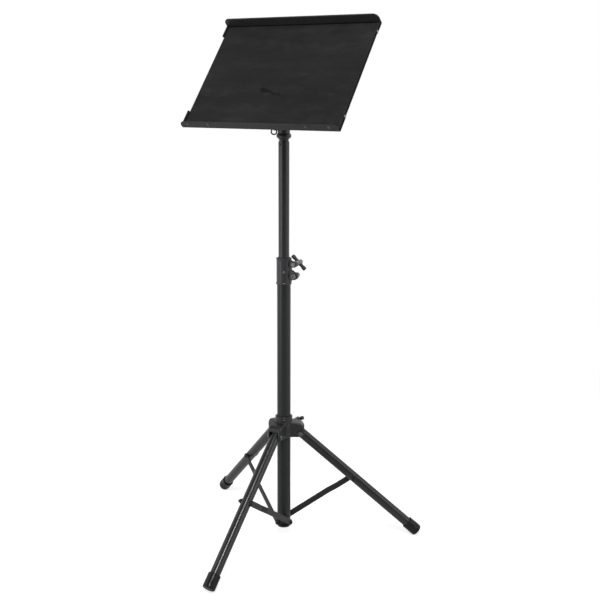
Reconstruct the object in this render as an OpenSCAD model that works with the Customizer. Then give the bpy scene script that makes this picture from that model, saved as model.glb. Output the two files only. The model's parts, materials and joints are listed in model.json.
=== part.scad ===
// Folding orchestra music stand: a telescoping mast on three folding legs,
// and a sheet metal desk that tilts, swivels and slides up and down.
// Millimetres, +Z up, the reader stands on the -Y side.
// The origin is on the floor, under the axis of the mast.

/* [Mast] */
// Outer diameter of the lower tube
lower_od = 30; // [28:0.5:33]
// Outer diameter of the upper tube
upper_od = 23.5; // [22.5:0.5:25]
// Wall of the two mast tubes
mast_wall = 1.5; // [1.2:0.1:1.8]
// Height of the mast's underside above the floor
base_gap = 25; // [18:1:34]
// Height of the clutch's top above the floor
clutch_top = 646; // [600:1:700]
// Length of the clutch sleeve
clutch_len = 58; // [56:1:80]
// Height of the upper tube's top above the floor, as set
upper_top = 894; // [860:1:960]
// Length of the upper tube
upper_len = 575; // [520:1:590]

/* [Base] */
// Diameter of the base plug's flange
base_flange_d = 39; // [36:0.5:44]
// Height of the base plug's flange
base_flange_h = 5; // [4:0.5:8]
// Height of the strut pivots above the flange
strut_pivot_rise = 4.5; // [4:0.5:10]

/* [Legs] */
// Outer diameter of a leg tube
leg_od = 22; // [19:0.5:23]
// Wall of a leg tube
leg_wall = 1.5; // [1:0.1:2]
// Length from a leg's pivot to the end of its foot
leg_len = 361.5; // [330:0.5:400]
// Angle between an open leg and the mast
leg_angle = 48.2; // [42:0.1:54]
// Distance of the leg pivots from the mast's axis
pivot_reach = 37; // [35:0.5:44]
// Distance along a leg from its pivot to its strut
strut_at = 164; // [150:0.5:180]
// Width of a strut
strut_w = 12.5; // [10.5:0.5:14]
// Thickness of a strut
strut_t = 3; // [2:0.25:4]
// Diameter of the bolts at the pivots of legs and struts
pivot_bolt_d = 6; // [5:0.5:7]
// Outer diameter of a rubber foot
foot_od = 27.2; // [26:0.2:32]
// Length of a rubber foot
foot_len = 32; // [26:1:44]

/* [Hub] */
// Diameter of the hub's collar
hub_collar_d = 38.4; // [37:0.4:44]
// Height of the hub's collar top above the leg pivots
hub_rise = 38.5; // [34:0.5:46]
// Depth of the cheeks below the leg pivots
hub_drop = 9.5; // [8:0.5:14]
// Thickness of a cheek
cheek_t = 3.6; // [3:0.1:5]

/* [Desk] */
// Width of the desk panel
desk_w = 365; // [330:1:500]
// Height of the desk panel along its slope
desk_h = 273.5; // [250:0.5:360]
// Thickness of the panel's sheet
sheet_t = 1.5; // [1:0.1:2]
// Depth of the return flanges at the panel's sides
flange_depth = 8; // [6.5:0.5:12]
// Depth of the bottom ledge in front of the panel
ledge_depth = 13; // [12:0.5:50]
// Depth of the top lip in front of the panel
lip_depth = 22; // [14:0.5:30]
// Radius of the rails' front corners
rail_corner = 12; // [6:0.5:14]
// Angle between the desk and the vertical, as set
desk_tilt = 40.5; // [20:0.5:60]
// Height of the tilt pivot above the upper tube's top
tilt_rise = 99; // [90:1:130]
// Distance from the tilt pivot to the panel's face
desk_offset = 38; // [31:0.5:42]
// Distance along the slope from the tilt pivot to the panel's bottom edge
desk_below = 118.5; // [100:0.5:140]
// Diameter of the desk's rod
rod_d = 16; // [14:0.5:17]

/* [Handles] */
// Length of a tee screw's cross bar
tee_bar_len = 41; // [32:1:46]
// Diameter of a tee screw's cross bar
tee_bar_d = 7.5; // [6:0.5:8.5]
// Reach of the wing screw's loops from its axis
wing_reach = 13.5; // [10:0.5:14]

/* [Hidden] */
$fn = 48;

// Clearances: round parts that run on each other, parts that pass, seated parts
run = 0.1;
pass = 0.4;
seat = 0.05;

// Azimuths of the legs, seen from above
front_az = -90;
right_az = 30;
left_az = 150;

// Mast
lower_r = lower_od / 2;
lower_bore = lower_r - mast_wall;
upper_r = upper_od / 2;
upper_bore = upper_r - mast_wall;
lower_bottom = base_gap + base_flange_h;
tube_seat_len = 22;
lower_top = clutch_top - clutch_len + tube_seat_len;
upper_bottom = upper_top - upper_len;
plug_insert = 26;

// Feet and legs: the foot's rounded rim touches the floor
leg_r = leg_od / 2;
leg_bore = leg_r - leg_wall;
foot_r = foot_od / 2;
foot_round = 3;
foot_end_z = (foot_r - foot_round) * sin(leg_angle) + foot_round * (1 - cos(leg_angle));
hub_z = foot_end_z + leg_len * cos(leg_angle);
foot_floor = 4;
leg_tail = 6;
bolt_r = pivot_bolt_d / 2;

// Struts: from the side of the base to the side of the leg
strut_z = lower_bottom + strut_pivot_rise;
strut_eye_r = strut_w / 2;
strut_base_y = lower_r + 0.5;
strut_leg_y = leg_r + pass;
strut_dx = pivot_reach + strut_at * sin(leg_angle);
strut_dz = hub_z - strut_at * cos(leg_angle) - strut_z;
strut_len = norm([strut_dx, strut_dz]);
strut_angle = atan2(strut_dz, strut_dx);
joggle_start = strut_len * 0.64;
joggle_len = 22;
bolt_head_r = bolt_r + 2;
bolt_head_h = 2.8;

// Hub
hub_bush_wall = 1.4;
hub_bore = lower_r + run + hub_bush_wall + seat;
hub_collar_r = hub_collar_d / 2;
hub_bottom = hub_z - hub_drop;
hub_top = hub_z + hub_rise;
arm_low = hub_bottom + 0.6;
arm_in = leg_r + pass;
arm_half = arm_in + cheek_t;
arm_tip = pivot_reach + 9;
arm_top = hub_z + 27;
arm_slope = 3;
arm_round = 15;
arm_bevel = 2;
lip_reach = pivot_reach + 6.5;
lock_z = hub_z + 10.5;
lock_az = 90;
lock_boss_r = 7;
lock_boss_end = hub_collar_r + 15;

// Clutch
clutch_bottom = clutch_top - clutch_len;
clutch_r = lower_r + 1;
clutch_bush_wall = 1.3;
clutch_bore = upper_r + run + clutch_bush_wall + seat;
ear_az = 8;
ear_t = 4;
ear_gap = 2;
clamp_reach = clutch_r + 8.5;
clamp_z = clutch_top - 13.5;
sleeve_reach = clutch_r + 9;
sleeve_z = clutch_bottom + 19;
sleeve_lobe_r = 8;
clamp_lobe_r = 6.5;
pin_az = -60;
pin_z = clutch_top - 30;

// Tee screws
screw_r = 3;
tee_neck_r = 4.6;
tee_neck_len = 13;
tee_head_r = 5.6;
tee_head_len = 20;
tee_bar_at = tee_neck_len + 8;
clamp_lean = 45;
lock_lean = 65;

// Socket on the upper tube
rod_r = rod_d / 2;
socket_r = rod_r + 5;
socket_flare_r = upper_r + 3.8;
socket_len = 52;
socket_insert = 40;
wing_az = 210;
wing_z = upper_top + 27;
wing_screw_r = 2.5;
wing_hub_r = 4.5;
wing_band = 2;
socket_pin_r = 2;
socket_pin_z = upper_top - 6;
socket_pin_az = -104;
rod_bottom = upper_top - socket_insert + 22;

// Tilt head
tilt_z = upper_top + tilt_rise;
tongue_t = 8;
tongue_r = rod_r + 1;
tilt_bolt_r = 4;
washer_t = 1.5;
bracket_t = 2.5;
ear_in = tongue_t / 2 + washer_t + 0.3;
ear_r = 11;
bracket_back = desk_offset - sheet_t - seat - bracket_t;
bracket_w = 60;
bracket_low = -38;
bracket_high = 58;

// Desk, in its own frame: X across, Z up the slope, -Y out of the face, origin at the tilt pivot
panel_bottom = -desk_below;
panel_top = panel_bottom + desk_h;
panel_half = desk_w / 2;
panel_bend = 2.5;
rail_t = 2.2;
tab_t = 2.4;
rail_half = panel_half + 0.3 + tab_t;
rail_leg = 22;
rail_back = desk_offset - 5;
tab_front = 2.5;
tab_depth = desk_offset + tab_front - rail_back;
top_tab = 30;
ledge_tab = 38;
rivet_r = 3.6;
rivet_shank_r = 2;
rivet_y = 5.8 - desk_offset - ledge_depth;
rivet_at = [panel_half - 68, panel_half - 17];
tab_screw_r = 2;
tab_screw_y = -desk_offset - tab_front + tab_depth / 2;

// Placing

module at_azimuth(az) {
    rotate([0, 0, az]) children();
}

// Along a radius of the mast at a height: children's +Z points outwards
module radial(az, z) {
    at_azimuth(az) translate([0, 0, z]) rotate([0, 90, 0]) children();
}

// In a leg's frame: +Z runs down the leg from its pivot, +Y is the pivot's axis
module on_leg(az) {
    at_azimuth(az) translate([pivot_reach, 0, hub_z]) rotate([0, 180 - leg_angle, 0]) children();
}

// In a strut's frame: +X runs up the strut from its base pivot, +Y is the pivot's axis
module on_strut(az) {
    at_azimuth(az) translate([0, 0, strut_z]) rotate([0, -strut_angle, 0]) children();
}

// Children's +Z turned onto +Y
module along_y() {
    rotate([-90, 0, 0]) children();
}

// Children's +Z turned onto +X
module along_x() {
    rotate([0, 90, 0]) children();
}

module on_desk() {
    translate([0, 0, tilt_z]) rotate([-desk_tilt, 0, 0]) children();
}

// Shapes

module ring(outer, inner, h) {
    difference() {
        cylinder(r = outer, h = h);
        translate([0, 0, -1]) cylinder(r = inner, h = h + 2);
    }
}

// A bolt's or rivet's low domed head, flat side at z = 0
module dome_head(r, h) {
    rotate_extrude() polygon(concat([[0, 0]], [for (a = [0:15:90]) [r * cos(a), h * sin(a)]]));
}

// A flat bar's outline with round ends, from the origin along +X
module slot_outline(len, r) {
    translate([0, -r]) square([len, 2 * r]);
    circle(r = r);
    translate([len, 0]) circle(r = r);
}

// Points of a quarter arc from angle a to angle b
function arc(centre, r, a, b, steps = 8) =
    [for (i = [0:steps]) centre + r * [cos(a + (b - a) * i / steps), sin(a + (b - a) * i / steps)]];

// Tee screw from its seat at z = 0: a screw below, a neck and a drilled head above
module tee_screw(screw_len, lean) {
    difference() {
        union() {
            translate([0, 0, -screw_len]) cylinder(r = screw_r, h = screw_len + 1);
            cylinder(r = tee_neck_r, h = tee_neck_len + 1);
            translate([0, 0, tee_neck_len]) rotate_extrude() polygon([
                [0, 0], [tee_head_r - 1, 0], [tee_head_r, 1], [tee_head_r, tee_head_len - 2],
                [tee_head_r - 2, tee_head_len], [0, tee_head_len]
            ]);
        }
        translate([0, 0, tee_bar_at]) rotate([0, 0, lean]) along_x()
            cylinder(r = tee_bar_d / 2 + seat, h = 4 * tee_head_r, center = true);
    }
}

// The round-ended bar across a tee screw's head
module tee_bar(lean) {
    end = 1.2;
    r = tee_bar_d / 2;
    half = tee_bar_len / 2;
    translate([0, 0, tee_bar_at]) rotate([0, 0, lean]) along_x() rotate_extrude() polygon([
        [0, -half], [r - end, -half], [r, end - half], [r, half - end], [r - end, half], [0, half]
    ]);
}

// Mast

module lower_tube() {
    color("dimgray") difference() {
        translate([0, 0, lower_bottom]) ring(lower_r, lower_bore, lower_top - lower_bottom);
        for (az = [front_az, right_az, left_az])
            radial(az + 90, strut_z) cylinder(r = bolt_r + 0.2, h = lower_od);
    }
}

module base_plug() {
    insert_r = lower_bore - seat;
    slot_half = strut_eye_r + 1;
    color("black") difference() {
        translate([0, 0, base_gap]) rotate_extrude() polygon([
            [0, 0], [base_flange_d / 2 - 2.5, 0], [base_flange_d / 2, 2.5],
            [base_flange_d / 2, base_flange_h - 1], [base_flange_d / 2 - 1, base_flange_h],
            [insert_r, base_flange_h], [insert_r, base_flange_h + plug_insert - 1.5],
            [insert_r - 1.5, base_flange_h + plug_insert], [0, base_flange_h + plug_insert]
        ]);
        for (az = [front_az, right_az, left_az]) at_azimuth(az + 90) {
            // flat on the flange for the strut's eye
            translate([strut_base_y - 0.3, -slot_half, base_gap - 1])
                cube([base_flange_d, 2 * slot_half, base_flange_h + 3]);
            translate([0, 0, strut_z]) along_x() cylinder(r = bolt_r + seat, h = lower_od);
        }
        // relief under the plug, as moulded
        translate([0, 0, base_gap - 1]) cylinder(r = base_flange_d / 2 - 9, h = 5);
    }
}

module strut_base_bolts() {
    color("black") for (az = [front_az, right_az, left_az]) radial(az + 90, strut_z) {
        translate([0, 0, 5]) cylinder(r = bolt_r, h = strut_base_y + strut_t + 0.3 - 5 + 0.5);
        translate([0, 0, strut_base_y + strut_t + 0.3]) dome_head(bolt_head_r, bolt_head_h);
    }
}

module upper_tube() {
    color("dimgray") difference() {
        translate([0, 0, upper_bottom]) ring(upper_r, upper_bore, upper_len);
        radial(socket_pin_az, socket_pin_z)
            cylinder(r = socket_pin_r + seat, h = 4 * upper_r, center = true);
    }
}

module guide_bush() {
    color("black") translate([0, 0, upper_bottom - 8]) difference() {
        union() {
            cylinder(r = lower_bore - run, h = 8);
            cylinder(r = upper_bore - seat, h = 26);
        }
        translate([0, 0, -1]) cylinder(r = upper_bore - 3, h = 30);
    }
}

// Clutch

// Outline of one ear in the plane through the mast's axis: X outwards, Y up
module ear_outline() {
    difference() {
        union() {
            translate([clutch_r - 1.5, clutch_bottom + 6]) square([2.5, clutch_len - 11]);
            translate([clutch_r - 1.5, clamp_z - clamp_lobe_r])
                square([clamp_reach - clutch_r + 1.5, 2 * clamp_lobe_r]);
            translate([clamp_reach, clamp_z]) circle(r = clamp_lobe_r);
            translate([clutch_r - 1.5, sleeve_z - sleeve_lobe_r])
                square([sleeve_reach - clutch_r + 1.5, 2 * sleeve_lobe_r]);
            translate([sleeve_reach, sleeve_z]) circle(r = sleeve_lobe_r);
            polygon([
                [clutch_r - 1, sleeve_z], [clutch_r - 1, sleeve_z + sleeve_lobe_r + 6],
                [clutch_r + 1.5, sleeve_z + sleeve_lobe_r + 5], [sleeve_reach, sleeve_z + sleeve_lobe_r]
            ]);
        }
        // window between the sleeve and the clamp screw
        translate([(clutch_r + clamp_reach - screw_r) / 2 + 0.2, clamp_z - 1.6]) {
            translate([0, -1.6]) circle(r = 1.8);
            translate([0, 2.2]) circle(r = 1.8);
            translate([-1.8, -1.6]) square([3.6, 3.8]);
        }
    }
}

module clutch_sleeve() {
    ears = ear_gap + 2 * ear_t;
    color("dimgray") difference() {
        union() {
            translate([0, 0, clutch_bottom]) rotate_extrude() polygon([
                [0, 0], [clutch_r + 0.4, 0], [clutch_r + 0.9, 1], [clutch_r + 0.9, 3.5],
                [clutch_r, 5], [clutch_r, clutch_len - 4], [clutch_r + 0.7, clutch_len - 3],
                [clutch_r + 0.7, clutch_len - 0.8], [clutch_r, clutch_len], [0, clutch_len]
            ]);
            at_azimuth(ear_az) translate([0, ears / 2, 0]) rotate([90, 0, 0])
                linear_extrude(height = ears) ear_outline();
        }
        // seat of the lower tube, and above it the bush's bore
        translate([0, 0, clutch_bottom - 1]) cylinder(r = lower_r + seat, h = tube_seat_len + 1);
        translate([0, 0, clutch_bottom]) cylinder(r = clutch_bore, h = clutch_len + 1);
        // the split between the ears
        at_azimuth(ear_az) translate([0, -ear_gap / 2, clutch_bottom - 1])
            cube([2 * clamp_reach, ear_gap, clutch_len + 2]);
        at_azimuth(ear_az) {
            translate([clamp_reach, 0, clamp_z]) along_y()
                cylinder(r = screw_r + run, h = 2 * ears, center = true);
            translate([sleeve_reach, 0, sleeve_z]) along_y()
                cylinder(r = screw_r + seat, h = 2 * ears, center = true);
        }
        radial(pin_az, pin_z) cylinder(r = 2 + seat, h = 2 * clutch_r);
    }
}

module clutch_bush() {
    bush_len = clutch_len - tube_seat_len - 1.5;
    color("black") difference() {
        translate([0, 0, lower_top + seat]) ring(clutch_bore - seat, upper_r + run, bush_len);
        at_azimuth(ear_az) translate([0, -ear_gap / 2, lower_top - 1])
            cube([2 * upper_r, ear_gap, bush_len + 3]);
        radial(pin_az, pin_z) cylinder(r = 2 + seat, h = 2 * clutch_r);
    }
}

module clutch_pin() {
    inner = upper_r + run + 0.4;
    color("silver") radial(pin_az, pin_z) {
        translate([0, 0, inner]) cylinder(r = 2, h = clutch_r - inner + 0.3);
        translate([0, 0, clutch_r + 0.1]) dome_head(2.9, 1.1);
    }
}

module clamp_place() {
    at_azimuth(ear_az) translate([clamp_reach, 0, clamp_z]) children();
}

module clamp_screw() {
    color("silver") clamp_place() translate([0, ear_gap / 2 + ear_t + 0.3, 0]) along_y()
        tee_screw(ear_gap + 2 * ear_t + 5, clamp_lean);
}

module clamp_bar() {
    color("black") clamp_place() translate([0, ear_gap / 2 + ear_t + 0.3, 0]) along_y() tee_bar(clamp_lean);
}

module clamp_nut() {
    color("silver") clamp_place() translate([0, -ear_gap / 2 - ear_t - 0.1, 0]) rotate([90, 0, 0])
        difference() {
            cylinder(r = 5.8, h = 4.5, $fn = 6);
            translate([0, 0, -1]) cylinder(r = screw_r + run, h = 8);
        }
}

module sleeve_place() {
    at_azimuth(ear_az) translate([sleeve_reach, 0, sleeve_z]) children();
}

module sleeve_bolt() {
    half = ear_gap / 2 + ear_t + 0.1;
    color("black") sleeve_place() translate([0, -half, 0]) rotate([90, 0, 0]) difference() {
        union() {
            rotate_extrude() polygon([[0, 0], [6, 0], [6, 3.2], [5, 4.2], [0, 4.2]]);
            translate([0, 0, -2 * half - 10]) cylinder(r = screw_r, h = 2 * half + 11);
        }
        translate([0, 0, 1.8]) cylinder(r = 2.6, h = 4, $fn = 6);
    }
}

module sleeve_nut() {
    half = ear_gap / 2 + ear_t + 0.1;
    color("silver") sleeve_place() translate([0, half, 0]) along_y() difference() {
        rotate_extrude() polygon([[0, 0], [5.6, 0], [5.6, 12.5], [4.4, 14], [0, 14]]);
        translate([0, 0, -1]) cylinder(r = screw_r + seat, h = 12);
    }
}

// Hub

// Outline of an arm in the plane of its leg: X outwards, Y up
module arm_outline() {
    polygon(concat(
        [[hub_collar_r - 6, arm_low]],
        arc([arm_tip - 5, arm_low + 5], 5, -90, 0),
        arc([arm_tip - arm_round, arm_top - arm_slope - arm_round], arm_round, 0, 80),
        [[hub_collar_r - 6, arm_top]]
    ));
}

// Room for a leg between its cheeks, over the leg's whole swing
module leg_room_outline() {
    low = hub_bottom - 10;
    far = arm_tip + 20;
    room = leg_r + pass;
    edge = function (x) hub_z + (room - (x - pivot_reach) * cos(leg_angle)) / sin(leg_angle);
    translate([pivot_reach, hub_z]) circle(r = norm([leg_r, leg_tail]) + pass);
    polygon([
        [hub_collar_r + 1.6, low], [far, low], [far, edge(far)], [pivot_reach, edge(pivot_reach)],
        [hub_collar_r + 1.6, hub_z + leg_r]
    ]);
    translate([lip_reach, low]) square([far, hub_z + 30 - low]);
}

module arm() {
    difference() {
        hull() {
            translate([0, arm_half, 0]) rotate([90, 0, 0])
                linear_extrude(height = 2 * arm_half) offset(delta = -arm_bevel) arm_outline();
            translate([0, arm_half - arm_bevel, 0]) rotate([90, 0, 0])
                linear_extrude(height = 2 * (arm_half - arm_bevel)) arm_outline();
        }
        translate([0, arm_in, 0]) rotate([90, 0, 0])
            linear_extrude(height = 2 * arm_in) leg_room_outline();
        translate([pivot_reach, 0, hub_z]) along_y()
            cylinder(r = bolt_r + seat, h = 4 * arm_half, center = true);
    }
}

module hub() {
    wall = 2.5;
    color("dimgray") difference() {
        union() {
            translate([0, 0, hub_bottom]) rotate_extrude() polygon([
                [0, 0], [hub_collar_r, 0], [hub_collar_r + 1.5, 1.5],
                [hub_collar_r + 1.5, hub_rise + hub_drop - 20], [hub_collar_r, hub_rise + hub_drop - 14],
                [hub_collar_r, hub_rise + hub_drop - 6], [hub_collar_r - 1.4, hub_rise + hub_drop - 4.6],
                [hub_collar_r - 1.4, hub_rise + hub_drop - 0.6], [hub_collar_r - 2, hub_rise + hub_drop],
                [0, hub_rise + hub_drop]
            ]);
            for (az = [front_az, right_az, left_az]) at_azimuth(az) arm();
            // boss of the lock screw, with a rib down to the hub's foot
            radial(lock_az, lock_z) cylinder(r = lock_boss_r, h = lock_boss_end);
            at_azimuth(lock_az) translate([hub_collar_r - 2, wall, 0]) rotate([90, 0, 0])
                linear_extrude(height = 2 * wall) polygon([
                    [0, arm_low], [2, arm_low], [lock_boss_end - hub_collar_r, lock_z - 4],
                    [lock_boss_end - hub_collar_r, lock_z], [0, lock_z]
                ]);
        }
        translate([0, 0, hub_bottom - 1]) cylinder(r = hub_bore, h = hub_rise + hub_drop + 2);
        radial(lock_az, lock_z) cylinder(r = screw_r + run, h = 2 * lock_boss_end);
    }
}

module hub_bush() {
    color("black") difference() {
        translate([0, 0, hub_bottom + 1]) ring(hub_bore - seat, lower_r + run, hub_rise + hub_drop - 3);
        radial(lock_az, lock_z) cylinder(r = screw_r + pass, h = 2 * lock_boss_end);
    }
}

module leg_pivot_bolts() {
    head = arm_half + 0.1;
    color("silver") for (az = [front_az, right_az, left_az])
        at_azimuth(az) translate([pivot_reach, 0, hub_z]) along_y() {
            translate([0, 0, -head - 4]) cylinder(r = bolt_r, h = 2 * head + 4.5);
            translate([0, 0, head]) dome_head(bolt_head_r, bolt_head_h);
        }
}

module leg_pivot_nuts() {
    color("silver") for (az = [front_az, right_az, left_az])
        at_azimuth(az) translate([pivot_reach, -arm_half - 0.1, hub_z]) rotate([90, 0, 0]) difference() {
            cylinder(r = bolt_head_r + 0.6, h = 3.6, $fn = 6);
            translate([0, 0, -1]) cylinder(r = bolt_r + seat, h = 6);
        }
}

module lock_screw() {
    color("silver") radial(lock_az, lock_z) translate([0, 0, lock_boss_end + 0.3])
        tee_screw(lock_boss_end - lower_r - 0.3, lock_lean);
}

module lock_bar() {
    color("black") radial(lock_az, lock_z) translate([0, 0, lock_boss_end + 0.3]) tee_bar(lock_lean);
}

// Legs

module leg_tube(az) {
    color("dimgray") on_leg(az) difference() {
        translate([0, 0, -leg_tail]) ring(leg_r, leg_bore, leg_len - foot_floor - 1 + leg_tail);
        along_y() cylinder(r = bolt_r + run, h = 4 * leg_r, center = true);
        translate([0, 0, strut_at]) along_y() cylinder(r = bolt_r + seat, h = 4 * leg_r, center = true);
    }
}

module front_leg() {
    leg_tube(front_az);
}

module right_leg() {
    leg_tube(right_az);
}

module left_leg() {
    leg_tube(left_az);
}

module leg_plug(az) {
    color("black") on_leg(az) difference() {
        translate([0, 0, -leg_tail]) cylinder(r = leg_bore - seat, h = 34);
        along_y() cylinder(r = bolt_r + run, h = 4 * leg_r, center = true);
    }
}

module front_leg_plug() {
    leg_plug(front_az);
}

module right_leg_plug() {
    leg_plug(right_az);
}

module left_leg_plug() {
    leg_plug(left_az);
}

module foot(az) {
    wall_r = leg_r + seat;
    color("black") on_leg(az) translate([0, 0, leg_len - foot_len]) rotate_extrude() polygon(concat(
        [
            [0, foot_len - foot_floor], [wall_r, foot_len - foot_floor], [wall_r, 2.5],
            [foot_r - 1.4, 0], [foot_r - 0.6, 0], [foot_r, 0.8]
        ],
        arc([foot_r - foot_round, foot_len - foot_round], foot_round, 0, 90),
        [[0, foot_len]]
    ));
}

module front_foot() {
    foot(front_az);
}

module right_foot() {
    foot(right_az);
}

module left_foot() {
    foot(left_az);
}

// Bolt through the leg at its strut, with its lock nut on the far side
module leg_bolt(az) {
    color("black") on_leg(az) translate([0, 0, strut_at]) rotate([90, 0, 0]) {
        translate([0, 0, -leg_r]) cylinder(r = bolt_r, h = 2 * leg_r + 8);
        translate([0, 0, leg_r + 0.1]) cylinder(r = bolt_head_r, h = 4.5);
    }
}

module front_leg_bolt() {
    leg_bolt(front_az);
}

module right_leg_bolt() {
    leg_bolt(right_az);
}

module left_leg_bolt() {
    leg_bolt(left_az);
}

// Struts

module strut(az) {
    end = strut_len + 2 * strut_eye_r;
    bend = joggle_start + joggle_len;
    color("black") on_strut(az) difference() {
        intersection() {
            translate([0, 2 * strut_base_y, 0]) rotate([90, 0, 0])
                linear_extrude(height = 2 * strut_base_y) slot_outline(strut_len, strut_eye_r);
            translate([0, 0, -strut_w]) linear_extrude(height = 2 * strut_w) polygon([
                [-strut_w, strut_base_y], [joggle_start, strut_base_y], [bend, strut_leg_y],
                [end, strut_leg_y], [end, strut_leg_y + strut_t], [bend + 0.6, strut_leg_y + strut_t],
                [joggle_start + 0.6, strut_base_y + strut_t], [-strut_w, strut_base_y + strut_t]
            ]);
        }
        along_y() cylinder(r = bolt_r + run, h = 4 * strut_base_y, center = true);
        translate([strut_len, 0, 0]) along_y() cylinder(r = bolt_r + seat, h = 4 * strut_base_y, center = true);
    }
}

module front_strut() {
    strut(front_az);
}

module right_strut() {
    strut(right_az);
}

module left_strut() {
    strut(left_az);
}

// The strut's side of the bolt at the leg
module strut_head(az) {
    color("black") on_strut(az) translate([strut_len, strut_leg_y, 0]) along_y() {
        cylinder(r = bolt_r, h = strut_t + 0.5);
        translate([0, 0, strut_t + 0.1]) dome_head(bolt_head_r, bolt_head_h);
    }
}

module front_strut_head() {
    strut_head(front_az);
}

module right_strut_head() {
    strut_head(right_az);
}

module left_strut_head() {
    strut_head(left_az);
}

// Socket and desk rod

module socket() {
    insert_r = upper_bore - seat;
    color("black") difference() {
        translate([0, 0, upper_top]) rotate_extrude() polygon([
            [0, -socket_insert], [insert_r, -socket_insert], [insert_r, 0.1], [upper_r - 1.4, 0.1],
            [upper_r - 1.4, 4], [socket_flare_r - 0.8, 9], [socket_flare_r, 10.5], [socket_flare_r - 0.6, 12],
            [socket_r, 15.5], [socket_r, socket_len - 1], [socket_r - 1, socket_len], [0, socket_len]
        ]);
        translate([0, 0, rod_bottom - 2]) cylinder(r = rod_r + run, h = socket_len + socket_insert);
        radial(wing_az, wing_z) cylinder(r = wing_screw_r + run, h = 2 * socket_r);
        radial(socket_pin_az, socket_pin_z)
            cylinder(r = socket_pin_r + seat, h = 4 * upper_r, center = true);
    }
}

// Two short pins that hold the socket in the upper tube, clear of the rod
module socket_pin() {
    inner = rod_r + 0.5;
    color("black") for (az = [socket_pin_az, socket_pin_az + 180]) radial(az, socket_pin_z) {
        translate([0, 0, inner]) cylinder(r = socket_pin_r, h = upper_r - inner + 0.3);
        translate([0, 0, upper_r + 0.1]) dome_head(socket_pin_r + 0.8, 0.9);
    }
}

// Outline of the wing screw's two open loops: X along the screw, Y across it
module wing_outline() {
    loop_r = wing_reach / 2;
    for (side = [-1, 1]) translate([loop_r + 0.8, side * (wing_reach - loop_r)]) difference() {
        circle(r = loop_r);
        circle(r = loop_r - wing_band);
    }
}

module wing_screw() {
    tip = rod_r + 0.3;
    hub_at = socket_r + 0.3;
    color("black") at_azimuth(wing_az) translate([0, 0, wing_z]) {
        along_x() translate([0, 0, tip]) cylinder(r = wing_screw_r, h = hub_at - tip + 1);
        along_x() translate([0, 0, hub_at]) cylinder(r = wing_hub_r, h = 8);
        translate([hub_at, 1.2, 0]) rotate([90, 0, 0]) linear_extrude(height = 2.4) difference() {
            wing_outline();
            translate([-1, -wing_hub_r + 1]) square([wing_reach + 9, 2 * wing_hub_r - 2]);
        }
    }
}

module desk_rod() {
    flat = tilt_z - ear_r - 5;
    color("silver") difference() {
        union() {
            translate([0, 0, rod_bottom]) rotate_extrude() polygon([
                [0, 0], [rod_r - 1, 0], [rod_r, 1], [rod_r, flat - 1 - rod_bottom],
                [rod_r - 2, flat + 1 - rod_bottom], [0, flat + 1 - rod_bottom]
            ]);
            translate([-tongue_t / 2, -tongue_r, flat - 4]) cube([tongue_t, 2 * tongue_r, tilt_z - flat + 4]);
            translate([0, 0, tilt_z]) along_x() cylinder(r = tongue_r, h = tongue_t, center = true);
        }
        translate([0, 0, tilt_z]) along_x()
            cylinder(r = tilt_bolt_r + 0.08, h = 4 * tongue_t, center = true);
    }
}

module tilt_washers() {
    color("silver") for (side = [-1, 1])
        translate([side * (tongue_t / 2 + washer_t / 2), 0, tilt_z]) along_x()
            translate([0, 0, -washer_t / 2]) ring(tongue_r, tilt_bolt_r + run, washer_t);
}

// Desk

// Outline of a bracket ear: X away from the desk's face, Y up the slope
module bracket_ear_outline() {
    circle(r = ear_r);
    polygon([
        [0, -ear_r], [-bracket_back - 1, -ear_r - 4], [-bracket_back - 1, ear_r + 12], [0, ear_r]
    ]);
}

module tilt_bracket() {
    plate_y = -bracket_back - bracket_t;
    color("black") on_desk() difference() {
        union() {
            translate([-bracket_w / 2, plate_y, bracket_low])
                cube([bracket_w, bracket_t, bracket_high - bracket_low]);
            for (side = [-1, 1]) translate([side * (ear_in + bracket_t / 2) - bracket_t / 2, 0, 0])
                rotate([90, 0, 90]) linear_extrude(height = bracket_t) bracket_ear_outline();
        }
        along_x() cylinder(r = tilt_bolt_r + seat, h = bracket_w, center = true);
        for (x = [-1, 1], z = [bracket_low + 9, bracket_high - 9])
            translate([x * (bracket_w / 2 - 9), plate_y - 1, z]) along_y() cylinder(r = 2.1, h = 6);
    }
}

module tilt_bolt() {
    side = ear_in + bracket_t + 0.1;
    color("silver") on_desk() along_x() {
        translate([0, 0, -side - 9]) cylinder(r = tilt_bolt_r, h = 2 * side + 9.5);
        translate([0, 0, side]) dome_head(8, 4);
    }
}

// Wing nut on the tilt bolt
module tilt_nut() {
    side = ear_in + bracket_t + 0.3;
    wing_r = 6;
    color("black") on_desk() translate([-side, 0, 0]) rotate([0, -90, 0]) difference() {
        union() {
            cylinder(r1 = 8, r2 = 6.5, h = 7);
            for (s = [-1, 1]) translate([0, 1.5, 0]) rotate([90, 0, 0]) linear_extrude(height = 3) {
                translate([s * 13, 9]) circle(r = wing_r);
                polygon([[s * 4, 1], [s * 4, 6.5], [s * 9, 13], [s * 15, 4]]);
            }
        }
        translate([0, 0, -1]) cylinder(r = tilt_bolt_r + run, h = 12);
    }
}

// Nuts on the weld studs that hold the bracket to the panel
module bracket_nuts() {
    color("silver") on_desk() for (x = [-1, 1], z = [bracket_low + 9, bracket_high - 9])
        translate([x * (bracket_w / 2 - 9), -bracket_back, z]) along_y() {
            translate([0, 0, 0.1]) cylinder(r = 4, h = 3.2, $fn = 6);
            translate([0, 0, -bracket_t]) cylinder(r = 2, h = bracket_t + 5);
        }
}

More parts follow.
